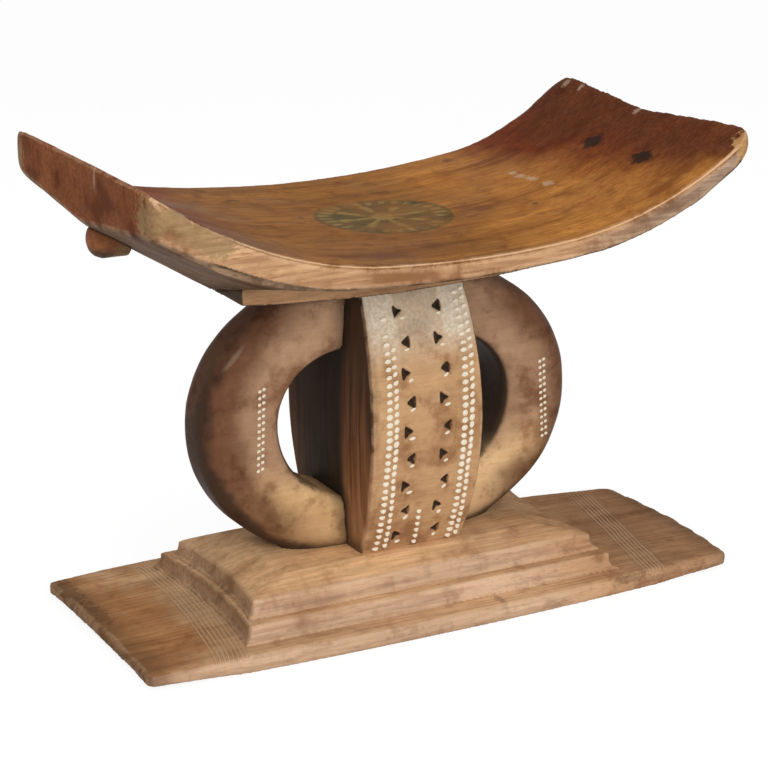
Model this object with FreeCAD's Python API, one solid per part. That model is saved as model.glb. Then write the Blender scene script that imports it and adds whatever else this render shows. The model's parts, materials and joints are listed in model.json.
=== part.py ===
"""Ashanti stool carved from one block of wood, one solid for each carved member.

X runs along the seat, Y from front to back, Z up. The origin is the middle of the
underside of the base board. Every size is in millimetres.
"""
import FreeCAD, Part
import math
import os

from FreeCAD import Vector

# Base board, its right end bowed and scalloped, its left end a little hollow
base_length = 445.0
base_front_left_reach = 89.0
base_front_middle_reach = 97.0
base_front_right_reach = 88.0
base_back_left_reach = 89.0
base_back_middle_reach = 89.0
base_back_right_reach = 67.0
base_corner_width = 3.5
base_thickness = 12.5
base_end_thickness = 8.0
base_end_lift = 2.5
base_level_length = 306.0
base_left_hollow = 2.0
base_right_bow = 7.0
base_edge_width = 2.2
scallop_count = 7
scallop_depth = 1.5

# Everything above the board stands a little to the left of its middle
stem_offset = -11.0

# Two steps on the base board
lower_step_length = 272.0
lower_step_depth = 146.0
lower_step_rise = 11.5
upper_step_length = 256.0
upper_step_depth = 121.0
upper_step_rise = 11.0
step_end_hollow = 6.5
step_cove_width = 3.8
step_cove_easing = 2.4
crown_length = 186.0
crown_depth = 86.0
crown_rise = 8.0
step_set_forward = 2.0

# Ring that stands on the steps, in front view an oval with an oval opening
ring_length = 276.0
ring_end_radius = 88.0
ring_foot_cut = 16.0
ring_drop = 3.0
ring_depth = 52.0
ring_setback = 6.0
ring_shoulder_width = 11.0
ring_shoulder_easing = 4.0
ring_front_mouth_width = 4.5
ring_back_mouth_width = 2.5
opening_length = 170.0
opening_head_rise = 50.0
opening_head_corner = 45.0
opening_foot_rise = 62.0
opening_foot_corner = 54.0
opening_lift = 3.0

# Column through the middle of the ring, with a bowed panel on each face
column_height = 177.0
column_end_width = 76.0
column_belly_width = 82.5
column_end_depth = 80.0
column_belly_depth = 126.0
panel_edge_width = 1.5

# Two rows of notches chipped into each panel
notch_count = 9
notch_height = 12.0
notch_width = 8.0
notch_depth = 6.0
notch_row_spacing = 26.5
notch_stagger = 1.5
notch_foot_margin = 10.5
notch_head_margin = 11.5

# Bearer, the thick bar between the column and the seat
bearer_left_reach = 124.0
bearer_right_reach = 106.0
bearer_depth = 92.0
bearer_thickness = 12.0
bearer_crown = 5.5

# Seat, curved along its length and keeled under each wing; its wings start
# nearer the middle and rise more gently along the front edge than along the back
seat_length = 423.0
seat_depth = 244.0
seat_middle_radius = 787.0
seat_front_level_length = 120.0
seat_front_wing_radius = 273.0
seat_back_level_length = 236.0
seat_back_wing_radius = 150.0
seat_edge_thickness = 13.0
seat_left_edge_growth = 15.0
seat_right_edge_growth = 2.5
seat_edge_growth_start = 60.0
seat_middle_thickness = 27.0
seat_end_thickness = 42.0
seat_end_notch = 8.0
seat_corner_round = 15.0
seat_arris_width = 1.5
keel_shoulder = 12.0

# Lug under the left end of the keel
lug_length = 25.0
lug_diameter = 24.0
lug_shoulder_width = 6.0
lug_shoulder_easing = 2.5
lug_end_setback = 5.0

# Round inlay in the middle of the seat
roundel_diameter = 92.0
roundel_thickness = 1.5

# How far cutting and trimmed shapes run past what they meet, and how near counts as equal
overrun = 10.0
fuzz = 0.01

# Levels, from the ground up
lower_step_base = base_thickness
lower_step_top = lower_step_base + lower_step_rise
upper_step_top = lower_step_top + upper_step_rise
crown_top = upper_step_top + crown_rise
bearer_base = crown_top + column_height
bearer_end_base = bearer_base + bearer_crown
seat_underside = bearer_base + bearer_thickness
seat_middle_top = seat_underside + seat_middle_thickness
ring_centre = crown_top + column_height / 2 - ring_drop
opening_level = ring_centre + opening_lift


def wire(points):
    """Closed straight-sided wire through points."""
    return Part.makePolygon(list(points) + [points[0]])


def prism_along_y(outline, depth):
    """Solid from a closed XZ wire at y = 0, spread evenly to both sides."""
    face = Part.Face(outline)
    face.translate(Vector(0, -depth / 2, 0))
    return face.extrude(Vector(0, depth, 0))


def box_centred(length, depth, low, high):
    """Box centred in plan between two levels."""
    return Part.makeBox(length, depth, high - low, Vector(-length / 2, -depth / 2, low))


def edges_at_level(shape, level):
    """Edges that lie wholly at one level."""
    return [edge for edge in shape.Edges
            if abs(edge.BoundBox.ZMin - level) < fuzz and abs(edge.BoundBox.ZMax - level) < fuzz]


def upright_edges(shape):
    """Edges that stand upright."""
    return [edge for edge in shape.Edges if edge.BoundBox.XLength < fuzz and edge.BoundBox.YLength < fuzz]


def bowed_outline(end_half, belly_half, low, high):
    """Closed XZ wire of an upright bar whose two sides swell at mid-height."""
    middle = (low + high) / 2
    left = Part.Arc(Vector(-end_half, 0, low), Vector(-belly_half, 0, middle), Vector(-end_half, 0, high))
    right = Part.Arc(Vector(end_half, 0, high), Vector(belly_half, 0, middle), Vector(end_half, 0, low))
    head = Part.LineSegment(Vector(-end_half, 0, high), Vector(end_half, 0, high))
    foot = Part.LineSegment(Vector(end_half, 0, low), Vector(-end_half, 0, low))
    return Part.Wire([part.toShape() for part in (left, head, right, foot)])


# Base board

def right_end_x(y):
    """Place of the right end's bowed line, inside its scallops."""
    corner = base_length / 2 - scallop_depth - base_right_bow
    middle = (base_back_right_reach - base_front_right_reach) / 2
    reach = (base_back_right_reach + base_front_right_reach) / 2
    return corner + base_right_bow * (1 - ((y - middle) / reach) ** 2)


def scallop(start, end):
    """One lobe of the right end, between two places across it."""
    middle = (start + end) / 2
    return Part.Arc(Vector(right_end_x(start), start, 0),
                    Vector(right_end_x(middle) + scallop_depth, middle, 0),
                    Vector(right_end_x(end), end, 0)).toShape()


def base_plan():
    """Plan outline: swollen long edges, a scalloped right end and a hollow left one."""
    left = -base_length / 2
    right = right_end_x(base_back_right_reach)
    middle = (left + right) / 2
    back = Part.Arc(Vector(left, base_back_left_reach, 0), Vector(middle, base_back_middle_reach, 0),
                    Vector(right, base_back_right_reach, 0))
    front = Part.Arc(Vector(right, -base_front_right_reach, 0), Vector(middle, -base_front_middle_reach, 0),
                     Vector(left, -base_front_left_reach, 0))
    end = Part.Arc(Vector(left, -base_front_left_reach, 0), Vector(left + base_left_hollow, 0, 0),
                   Vector(left, base_back_left_reach, 0))
    lobe = (base_back_right_reach + base_front_right_reach) / scallop_count
    starts = [base_back_right_reach - index * lobe for index in range(scallop_count)]
    lobes = [scallop(start, start - lobe) for start in starts]
    return Part.Wire([back.toShape()] + lobes + [front.toShape(), end.toShape()])


def base_side():
    """Side outline: level in the middle, thinner and lifted at both ends."""
    half_length = base_length / 2 + overrun
    half_level = base_level_length / 2
    run = half_length - half_level
    reach = base_length / 2 - half_level
    end_low = base_end_lift * run / reach
    end_top = base_thickness + (base_end_lift + base_end_thickness - base_thickness) * run / reach
    return wire([Vector(-half_level, 0, 0), Vector(half_level, 0, 0), Vector(half_length, 0, end_low),
                 Vector(half_length, 0, end_top), Vector(half_level, 0, base_thickness),
                 Vector(-half_level, 0, base_thickness), Vector(-half_length, 0, end_top),
                 Vector(-half_length, 0, end_low)])


def make_base_board():
    """Board with flats at its four corners and along its long edges."""
    slab = Part.Face(base_plan()).extrude(Vector(0, 0, base_thickness))
    corners = [edge for edge in upright_edges(slab)
               if edge.BoundBox.YMin < base_corner_width - base_front_right_reach
               or edge.BoundBox.YMin > base_back_right_reach - base_corner_width]
    slab = slab.makeChamfer(base_corner_width, corners)
    board = slab.common(prism_along_y(base_side(), 2 * base_front_middle_reach + overrun))
    shortest = (base_length - base_level_length) / 2 - base_corner_width - 2 * base_right_bow
    long_edges = [edge for edge in board.Edges if edge.BoundBox.XLength > shortest
                  and edge.BoundBox.YMin * edge.BoundBox.YMax > 0]
    return board.makeChamfer(base_edge_width, long_edges)


# Steps

def step_plan(length, depth, level):
    """Plan outline of a step: straight long sides and hollow ends."""
    x, y = length / 2, depth / 2
    right = Part.Arc(Vector(x, y, level), Vector(x - step_end_hollow, 0, level), Vector(x, -y, level))
    left = Part.Arc(Vector(-x, -y, level), Vector(step_end_hollow - x, 0, level), Vector(-x, y, level))
    back = Part.LineSegment(Vector(-x, y, level), Vector(x, y, level))
    front = Part.LineSegment(Vector(x, -y, level), Vector(-x, -y, level))
    return Part.Wire([part.toShape() for part in (back, right, front, left)])


def make_crown():
    """Low hipped rise on the upper step, up to the level foot of the column."""
    x, y = crown_length / 2, crown_depth / 2
    corners = [(-x, y), (x, y), (x, -y), (-x, -y)]
    rim = wire([Vector(corner_x, corner_y, crown_top) for corner_x, corner_y in corners])
    return Part.makeLoft([step_plan(upper_step_length, upper_step_depth, upper_step_top), rim], True, True)


def make_step(length, depth, level, rise):
    """Plate with a hollow cove of three flats round its foot."""
    plate = Part.Face(step_plan(length, depth, level)).extrude(Vector(0, 0, rise))
    bed = box_centred(length + 2 * overrun, depth + 2 * overrun, level - overrun, level)
    coved = plate.fuse(bed)
    for width, heights in ((step_cove_width, [level]), (step_cove_easing, [level, level + step_cove_width])):
        folds = [edge for height in heights for edge in edges_at_level(coved, height)
                 if edge.BoundBox.XMax < length / 2 + overrun and edge.BoundBox.YMax < depth / 2 + overrun
                 and edge.BoundBox.XMin > -length / 2 - overrun and edge.BoundBox.YMin > -depth / 2 - overrun]
        coved = coved.makeChamfer(width, folds)
    return coved.cut(bed)


# Column, panels and ring

def column_prism(depth):
    """Column in front view, run past the bearer's underside, as a bar along Y."""
    outline = bowed_outline(column_end_width / 2, column_belly_width / 2, crown_top, bearer_base)
    head = box_centred(column_end_width, depth, bearer_base, seat_underside)
    return prism_along_y(outline, depth).fuse(head).removeSplitter()


def make_column_core(bearer):
    return column_prism(ring_depth).cut(bearer)


def panel_face(height):
    """Y of the front panel's bowed face at one height and its lean there, from its three-point arc."""
    end, belly = column_end_depth / 2, column_belly_depth / 2
    half_height = column_height / 2
    bow = belly - end
    radius = (half_height ** 2 + bow ** 2) / (2 * bow)
    from_middle = height - crown_top - half_height
    lean = math.asin(from_middle / radius)
    return radius - belly - radius * math.cos(lean), math.degrees(lean)


def pyramid(corners, apex):
    """Solid with flat sides from three corners to an apex."""
    sides = [Part.Face(wire([first, second, apex])) for first, second in zip(corners, corners[1:] + corners[:1])]
    return Part.Solid(Part.Shell([Part.Face(wire(corners))] + sides))


def notch(x, z, point_side):
    """Three-sided pit chipped square into the front panel's face, its point to one side."""
    face_y, lean = panel_face(z)
    reach = (notch_depth + overrun) / notch_depth
    half_width, half_height = reach * notch_width / 2, reach * notch_height / 2
    back_x, point_x = x - point_side * half_width, x + point_side * half_width
    mouth_y = face_y - overrun
    corners = [Vector(back_x, mouth_y, z + half_height), Vector(point_x, mouth_y, z),
               Vector(back_x, mouth_y, z - half_height)]
    pit = pyramid(corners, Vector(x, face_y + notch_depth, z))
    pit.rotate(Vector(x, face_y, z), Vector(1, 0, 0), -lean)
    return pit


def panel_notches():
    """Both rows of pits, their points turned in and out by turns."""
    low = crown_top + notch_foot_margin
    high = bearer_base - notch_head_margin
    pitch = (high - low) / (notch_count - 1)
    pits = []
    for index in range(notch_count):
        turn = 1 if index % 2 == 0 else -1
        for side in (-1, 1):
            x = side * (notch_row_spacing / 2 + turn * notch_stagger / 2)
            pits.append(notch(x, low + index * pitch, -side * turn))
    return pits


def make_front_panel(bearer):
    end, belly = column_end_depth / 2, column_belly_depth / 2
    middle = crown_top + column_height / 2
    inner = -ring_depth / 2
    bow = Part.Arc(Vector(0, -end, crown_top), Vector(0, -belly, middle), Vector(0, -end, bearer_base))
    straight = Part.makePolygon([Vector(0, -end, bearer_base), Vector(0, -end, seat_underside),
                                 Vector(0, inner, seat_underside), Vector(0, inner, crown_top),
                                 Vector(0, -end, crown_top)])
    side = Part.Face(Part.Wire([bow.toShape()] + straight.Edges))
    side.translate(Vector(-column_belly_width / 2, 0, 0))
    slab = side.extrude(Vector(column_belly_width, 0, 0))
    panel = slab.common(column_prism(column_belly_depth + overrun)).cut(bearer)
    arrises = [edge for edge in panel.Edges
               if edge.BoundBox.ZLength > column_height / 3 and edge.BoundBox.YMin < -end - panel_edge_width]
    panel = panel.makeChamfer(panel_edge_width, arrises)
    for pit in panel_notches():
        panel = panel.cut(pit)
    return panel


def make_back_panel(front_panel):
    return front_panel.mirror(Vector(0, 0, 0), Vector(0, 1, 0))


def oval_half(half_span, rise, corner_radius, level, up):
    """Three tangent arcs from the right end of an oval to its left end, over or under."""
    head_radius = ((half_span ** 2 - 2 * half_span * corner_radius + rise ** 2)
                   / (2 * (rise - corner_radius)))
    centre_x = half_span - corner_radius
    lean = math.atan2(head_radius - rise, centre_x)

    def on_corner(side, angle):
        return Vector(side * (centre_x + corner_radius * math.cos(angle)), 0,
                      level + up * corner_radius * math.sin(angle))

    right = Part.Arc(on_corner(1, 0), on_corner(1, lean / 2), on_corner(1, lean))
    head = Part.Arc(on_corner(1, lean), Vector(0, 0, level + up * rise), on_corner(-1, lean))
    left = Part.Arc(on_corner(-1, lean), on_corner(-1, lean / 2), on_corner(-1, 0))
    return [part.toShape() for part in (right, head, left)]


def make_oval_bar(over, under):
    """Bar as deep as the ring, with an outline of two oval halves."""
    return prism_along_y(Part.Wire(over + list(reversed(under))), ring_depth)


def make_opening():
    """Bar with the opening's outline, through the ring along Y."""
    half_span = opening_length / 2
    return make_oval_bar(oval_half(half_span, opening_head_rise, opening_head_corner, opening_level, 1),
                         oval_half(half_span, opening_foot_rise, opening_foot_corner, opening_level, -1))


def make_outer_bar():
    """Bar with the ring's outer outline."""
    half_span, rise = ring_length / 2, column_height / 2 + ring_foot_cut
    return make_oval_bar(oval_half(half_span, rise, ring_end_radius, ring_centre, 1),
                         oval_half(half_span, rise, ring_end_radius, ring_centre, -1))


def level_rims(shape):
    """Edges of the ring that run round it, each at one depth."""
    return [edge for edge in shape.Edges if edge.BoundBox.YLength < fuzz]


def face_rims(shape):
    """Edges that lie in the front or back face of the ring."""
    return [edge for edge in level_rims(shape) if abs(abs(edge.BoundBox.YMin) - ring_depth / 2) < fuzz]


def make_ring(bearer):
    """Whole ring, its shoulders eased by three flats and its mouths by one, parted at the column."""
    bar = make_outer_bar()
    for width in (ring_shoulder_width, ring_shoulder_easing):
        bar = bar.makeChamfer(width, level_rims(bar))
    ring = bar.cut(make_opening())
    for side, width in ((-1, ring_front_mouth_width), (1, ring_back_mouth_width)):
        mouth = [edge for edge in face_rims(ring)
                 if edge.BoundBox.XLength < opening_length + fuzz and side * edge.BoundBox.YMin > 0]
        ring = ring.makeChamfer(width, mouth)
    ring.translate(Vector(0, ring_setback, 0))
    cutting_depth = ring_depth + 2 * ring_setback + overrun
    standing = box_centred(ring_length + overrun, cutting_depth, crown_top, seat_underside)
    return ring.common(standing).cut(bearer).cut(column_prism(cutting_depth))


# Bearer and seat

def make_bearer_block():
    """Bearer before the seat is bedded on it: crowned underside, square sides."""
    left, right, top = -bearer_left_reach, bearer_right_reach, seat_middle_top
    crown = Part.Arc(Vector(left, 0, bearer_end_base), Vector(0, 0, bearer_base),
                     Vector(right, 0, bearer_end_base))
    sides = Part.makePolygon([Vector(right, 0, bearer_end_base), Vector(right, 0, top),
                              Vector(left, 0, top), Vector(left, 0, bearer_end_base)])
    return prism_along_y(Part.Wire([crown.toShape()] + sides.Edges), bearer_depth)


def curve_height(x, level_length, wing_radius):
    """Rise of a seat curve above its middle: a wide arc, then a tighter tangent arc."""
    level = min(abs(x), level_length / 2)
    rise = seat_middle_radius - math.sqrt(seat_middle_radius ** 2 - level ** 2)
    start_sine = level / seat_middle_radius
    end_sine = start_sine + (abs(x) - level) / wing_radius
    return rise + wing_radius * (math.sqrt(1 - start_sine ** 2) - math.sqrt(1 - end_sine ** 2))


def front_top_height(x):
    return seat_middle_top + curve_height(x, seat_front_level_length, seat_front_wing_radius)


def back_top_height(x):
    return seat_middle_top + curve_height(x, seat_back_level_length, seat_back_wing_radius)


def middle_top_height(x):
    return (front_top_height(x) + back_top_height(x)) / 2


def edge_thickness(x):
    """Thickness of the seat's front and back edges, growing towards its ends."""
    growth = seat_left_edge_growth if x < 0 else seat_right_edge_growth
    run = seat_length / 2 - seat_edge_growth_start
    return seat_edge_thickness + growth * max(0, abs(x) - seat_edge_growth_start) / run


def front_under_height(x):
    return front_top_height(x) - edge_thickness(x)


def back_under_height(x):
    return back_top_height(x) - edge_thickness(x)


def arc_over(first_x, last_x, height_at, y):
    """Arc of a seat curve between two places along the seat."""
    middle_x = (first_x + last_x) / 2
    return Part.Arc(*[Vector(x, y, height_at(x)) for x in (first_x, middle_x, last_x)]).toShape()


def seat_stations():
    """Places along the underside, right to left, where its line changes, run past both ends."""
    reach = seat_length / 2 + overrun
    return [reach, (reach + bearer_right_reach) / 2, bearer_right_reach,
            bearer_right_reach - keel_shoulder, keel_shoulder - bearer_left_reach,
            -bearer_left_reach, -(reach + bearer_left_reach) / 2, -reach]


def closed_above(under_edges, y):
    """Closed XZ wire from an underside line up past the seat's tips."""
    first, last = under_edges[0].Vertexes[0].Point, under_edges[-1].Vertexes[-1].Point
    roof = middle_top_height(seat_length / 2) + overrun
    sides = Part.makePolygon([last, Vector(last.x, y, roof), Vector(first.x, y, roof), first])
    return Part.Wire(under_edges + sides.Edges)


def edge_section(height_at, y):
    """Underside at the front or back edge, thinner in the middle than at the ends."""
    stations = seat_stations()
    under = [arc_over(first, last, height_at, y) for first, last in zip(stations, stations[1:])]
    return closed_above(under, y)


def keel_height(x, keel_start):
    """Height of a keel's underside, in a straight rise from the bearer to the seat's end."""
    tip = seat_length / 2
    end_level = middle_top_height(tip) - seat_end_thickness
    return bearer_end_base + (end_level - bearer_end_base) * (abs(x) - keel_start) / (tip - keel_start)


def keel_section():
    """Underside along the middle, with the keel rising from the bearer to each end."""
    stations = seat_stations()
    points = [Vector(x, 0, keel_height(x, bearer_right_reach)) for x in stations[:3]]
    points += [Vector(x, 0, seat_underside) for x in stations[3:5]]
    points += [Vector(x, 0, keel_height(x, bearer_left_reach)) for x in stations[5:]]
    return closed_above([Part.makeLine(first, last) for first, last in zip(points, points[1:])], 0)


def make_seat_plan():
    """Upright block with the seat's plan: rounded corners and a notched right end."""
    x, y, notch_x = seat_length / 2, seat_depth / 2, seat_length / 2 - seat_end_notch
    outline = wire([Vector(x, -y, 0), Vector(notch_x, 0, 0), Vector(x, y, 0), Vector(-x, y, 0),
                    Vector(-x, -y, 0)])
    block = Part.Face(outline).extrude(Vector(0, 0, middle_top_height(x) + overrun))
    corners = [edge for edge in upright_edges(block) if abs(abs(edge.BoundBox.XMin) - x) < fuzz]
    return block.makeFillet(seat_corner_round, corners)


def top_section(height_at, level_length, y, drop):
    """Closed XZ wire under one long line of the seat's upper surface, run past both ends."""
    level, reach = level_length / 2, seat_length / 2 + overrun
    spans = [(-reach, -level), (-level, level), (level, reach)]
    tops = Part.Wire([arc_over(first, last, height_at, y) for first, last in spans])
    tops.translate(Vector(0, 0, -drop))
    first, last = tops.Edges[0].Vertexes[0].Point, tops.Edges[-1].Vertexes[-1].Point
    sides = Part.makePolygon([last, Vector(last.x, y, 0), Vector(first.x, y, 0), first])
    return Part.Wire(tops.Edges + sides.Edges)


def make_seat_profile():
    """Everything under the seat's upper surface: ruled from front to back, its long arrises eased."""
    half_depth = seat_depth / 2
    inner = half_depth - seat_arris_width
    front = [top_section(front_top_height, seat_front_level_length, y, drop)
             for y, drop in ((-half_depth, seat_arris_width), (-inner, 0))]
    back = [top_section(back_top_height, seat_back_level_length, y, drop)
            for y, drop in ((inner, 0), (half_depth, seat_arris_width))]
    return Part.makeLoft(front + back, True, True)


def make_seat_blank():
    """Seat before the inlay is let in."""
    half_depth = seat_depth / 2
    body = Part.makeLoft([edge_section(front_under_height, -half_depth), keel_section(),
                          edge_section(back_under_height, half_depth)], True, True)
    return body.common(make_seat_plan()).common(make_seat_profile())


def lug_level():
    """Height of the lug's axis: its top is level with the underside of the seat's end."""
    return middle_top_height(seat_length / 2) - seat_end_thickness - lug_diameter / 2


def make_lug(seat):
    """Round lug against the keel, its tip eased by three flats."""
    tip = Vector(lug_end_setback - seat_length / 2, 0, lug_level())
    knob = Part.makeCylinder(lug_diameter / 2, lug_length, tip, Vector(1, 0, 0))
    for width in (lug_shoulder_width, lug_shoulder_easing):
        rims = [edge for edge in knob.Edges if edge.BoundBox.XLength < fuzz
                and edge.BoundBox.XMax < tip.x + lug_length - fuzz]
        knob = knob.makeChamfer(width, rims)
    return knob.cut(seat)


def roundel_cutter():
    """Round bar that reaches from the inlay's bed to above the seat."""
    bed = seat_middle_top - roundel_thickness
    return Part.makeCylinder(roundel_diameter / 2, roundel_thickness + overrun, Vector(0, 0, bed))


def build():
    """Every member of the stool by name."""
    blank = make_seat_blank()
    cutter = roundel_cutter()
    seat = blank.cut(cutter)
    bearer_block = make_bearer_block()
    ring = make_ring(bearer_block)
    reach = ring_length + overrun
    left_half = Part.makeBox(reach, reach, reach + ring_centre, Vector(-reach, -reach / 2, 0))
    front_panel = make_front_panel(bearer_block)
    lower_step = make_step(lower_step_length, lower_step_depth, lower_step_base, lower_step_rise)
    upper_step = make_step(upper_step_length, upper_step_depth, lower_step_top, upper_step_rise)
    upper_step = upper_step.fuse(make_crown()).removeSplitter()
    for step in (lower_step, upper_step):
        step.translate(Vector(0, -step_set_forward, 0))
    members = {
        "base_board": make_base_board(),
        "lower_step": lower_step,
        "upper_step": upper_step,
        "left_ring": ring.common(left_half),
        "right_ring": ring.cut(left_half),
        "column_core": make_column_core(bearer_block),
        "front_panel": front_panel,
        "back_panel": make_back_panel(front_panel),
        "seat_bearer": bearer_block.cut(blank),
        "seat": seat,
        "seat_lug": make_lug(blank),
        "seat_roundel": blank.common(cutter),
    }
    for name, shape in members.items():
        if name != "base_board":
            shape.translate(Vector(stem_offset, 0, 0))
    return members


def main():
    os.makedirs("parts", exist_ok=True)
    for name, shape in build().items():
        solids = shape.Solids
        print(name, "solids", len(solids), "valid", shape.isValid(), "volume", round(shape.Volume, 1))
        solids[0].exportStep(os.path.join("parts", name + ".step"))


main()
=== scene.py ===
"""Carved Ashanti stool: worn wood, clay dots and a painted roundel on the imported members."""
import json
import math
import random

import bpy
import numpy as np
from bpy.props import FloatProperty, FloatVectorProperty, IntProperty, PointerProperty
from mathutils import Euler, Matrix, Vector
from mathutils.bvhtree import BVHTree

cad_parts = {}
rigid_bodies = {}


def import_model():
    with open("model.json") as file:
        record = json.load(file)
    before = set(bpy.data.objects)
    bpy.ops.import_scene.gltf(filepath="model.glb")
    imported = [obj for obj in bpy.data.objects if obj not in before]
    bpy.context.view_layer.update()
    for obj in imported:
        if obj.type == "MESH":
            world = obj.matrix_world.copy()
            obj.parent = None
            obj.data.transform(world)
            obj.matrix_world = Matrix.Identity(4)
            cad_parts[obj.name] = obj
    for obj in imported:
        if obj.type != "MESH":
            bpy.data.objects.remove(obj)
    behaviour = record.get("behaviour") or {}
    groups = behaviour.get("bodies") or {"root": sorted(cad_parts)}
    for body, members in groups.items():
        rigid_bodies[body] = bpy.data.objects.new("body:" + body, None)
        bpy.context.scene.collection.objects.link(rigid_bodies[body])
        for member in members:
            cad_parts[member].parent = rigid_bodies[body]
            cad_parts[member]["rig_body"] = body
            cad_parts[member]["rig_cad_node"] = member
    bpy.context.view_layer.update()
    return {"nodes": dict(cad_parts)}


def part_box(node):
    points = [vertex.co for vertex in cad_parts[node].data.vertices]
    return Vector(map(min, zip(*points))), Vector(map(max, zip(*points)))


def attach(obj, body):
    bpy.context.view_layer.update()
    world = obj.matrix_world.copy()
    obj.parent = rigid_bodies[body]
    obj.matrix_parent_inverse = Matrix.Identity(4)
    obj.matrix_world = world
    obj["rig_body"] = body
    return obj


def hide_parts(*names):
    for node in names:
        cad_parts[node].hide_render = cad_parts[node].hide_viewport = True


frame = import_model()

bl_info = {
    "name": "Ashanti stool",
    "version": (1, 0, 0),
    "blender": (4, 5, 0),
    "location": "View3D > Sidebar > Stool",
    "description": "Worn surfaces, clay dots and finishes of a carved stool",
    "category": "Object",
}

MM = 0.001


# Places read from the members

def middle_of(node):
    """Middle of a member's box."""
    low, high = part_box(node)
    return (low + high) / 2


STEM_X = middle_of("column_core").x
SEAT_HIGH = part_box("seat")[1]
PANEL_LOW, PANEL_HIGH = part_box("front_panel")
CORE_LOW, CORE_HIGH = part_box("column_core")
RING_LOW, RING_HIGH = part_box("left_ring")
LUG_LOW, LUG_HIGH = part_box("seat_lug")
FLOOR_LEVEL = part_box("base_board")[0].z

# Column
COLUMN_HEIGHT = 177 * MM
COLUMN_END_REACH = 40 * MM
NOTCH_COUNT = 9
NOTCH_FOOT = 10.5 * MM
NOTCH_PITCH = 19.375 * MM
NOTCH_REACH = 13 * MM

# Seat
END_START = 168 * MM
END_FADE = 18 * MM
TIP_START = np.array((180 * MM, 96 * MM))
TIP_FADE = np.array((12 * MM, 14 * MM))
UNDERCUT_START = 40 * MM
UNDERCUT_SLOPE = 0.8
EDGE_MARGIN = 16 * MM

# Surfaces, with the smoothing passes over each member
EASING = {"seat": 8, "ends": 60, "tips": 80, "lug": 10, "bearer": 4, "ring": 90, "column": 5,
          "base": 22, "step": 16}
SHEEN = 0.02
FINEST_FRAY = 500.0
FLOOR_TONE, FLOOR_GLOW, GLOW_SHARE = 0.8, 1.12, 0.8

# Turns a piece while it is surfaced anew, so that no face lies in line with the grid
GRID_TURN = Euler((0.4, 0.5, 0.6)).to_matrix().to_4x4()


# Settings

def colour_setting(name, description, default):
    return FloatVectorProperty(name=name, description=description, default=default,
                               subtype="COLOR", size=3, min=0, max=1)


def length_setting(name, description, default):
    return FloatProperty(name=name, description=description, default=default,
                         unit="LENGTH", subtype="DISTANCE", min=0, precision=5)


class StoolWoodSettings(bpy.types.PropertyGroup):
    """Colours of the wood and of what lies on it, some of them also used as painted light and shade."""
    golden: colour_setting("Golden wood", "Handled wood in the middle of the seat", (0.262, 0.105, 0.021))
    amber: colour_setting("Amber wood", "Orange wood towards the seat's right wing", (0.42, 0.168, 0.034))
    shaded: colour_setting("Shaded wood", "Duller wood towards the seat's left wing", (0.17, 0.072, 0.022))
    russet: colour_setting("Russet wood", "Reddish patina on the wings", (0.17, 0.033, 0.006))
    umber: colour_setting("Umber wood", "Dark brown of the right tips", (0.115, 0.038, 0.015))
    edge: colour_setting("Seat edge", "Greyish brown of the seat's edge", (0.54, 0.31, 0.162))
    pale_edge: colour_setting("Pale seat edge", "Lighter edge of the right wing", (0.39, 0.265, 0.18))
    end: colour_setting("Seat end", "Reddish brown of the seat's ends", (0.28, 0.098, 0.04))
    under: colour_setting("Seat underside", "Grey-brown of the seat's underside", (0.13, 0.085, 0.06))
    lug: colour_setting("Lug wood", "Orange-brown of the lug under the seat", (0.42, 0.16, 0.07))
    ring: colour_setting("Ring wood", "Dull brown of the ring and the bearer", (0.42, 0.245, 0.145))
    ring_red: colour_setting("Red ring wood", "Reddish patina of the ring's outside", (0.13, 0.047, 0.023))
    ring_pale: colour_setting("Pale ring wood", "Rubbed lower part of the ring", (0.68, 0.43, 0.21))
    panel: colour_setting("Panel wood", "Worn wood of the column's panels", (0.58, 0.345, 0.175))
    flank: colour_setting("Column flank", "Dark brown of the column's sides", (0.25, 0.106, 0.046))
    upper_ring: colour_setting("Upper ring wood", "Lighter upper part of the left half", (0.58, 0.35, 0.21))
    # Partly painted light: pale wood on the lower right half, made lighter still where the column shades
    # it.
    lit_pale_low_ring: colour_setting("Low ring wood", "Rubbed lower part of the right half", (0.8, 0.52, 0.27))
    front_board: colour_setting("Board front", "Paler edge of the board and the steps", (0.63, 0.43, 0.3))
    board: colour_setting("Board wood", "Dry wood of the base and the steps", (0.68, 0.42, 0.23))
    # Painted light: lightens the left of the steps, where the ring's shadow falls.
    painted_step_light: colour_setting("Handled step", "Lighter wood on the left of the steps", (0.97, 0.6, 0.31))
    dull: colour_setting("Dull board wood", "Darker ends of the base board", (0.48, 0.236, 0.098))
    bare: colour_setting("Bare wood", "Yellowish wood where the patina is worn off", (0.37, 0.235, 0.115))
    rubbed: colour_setting("Rubbed arris", "Pale line along the rubbed arrises", (0.72, 0.46, 0.27))
    # Also paints a highlight streak on the left ring's shoulder.
    dust_and_highlight: colour_setting("Dust", "Pale dust in the grooves", (0.56, 0.43, 0.31))
    clay: colour_setting("Clay", "White clay rubbed into the cuts", (0.9, 0.8, 0.63))
    fresh: colour_setting("Fresh wood", "Golden wood at the right front tip", (0.55, 0.31, 0.13))
    mark: colour_setting("Lozenges", "Dark brown of the two lozenges", (0.02, 0.009, 0.004))
    weathered: colour_setting("Weathered board", "Grey-brown over the board's right end", (0.2, 0.13, 0.1))
    paint: colour_setting("Roundel paint", "Dull gold of the roundel", (0.36, 0.26, 0.08))
    old_paint: colour_setting("Old roundel paint", "Darker gold of the roundel", (0.22, 0.15, 0.035))
    paint_ground: colour_setting("Roundel ground", "Dark olive behind the gold", (0.075, 0.062, 0.014))
    # Also used as painted shade in creases, notches, the ring's rim and opening, and next to other members.
    soot_and_shade: colour_setting("Soot", "Dirt in corners and dark marks", (0.035, 0.025, 0.018))


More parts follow.
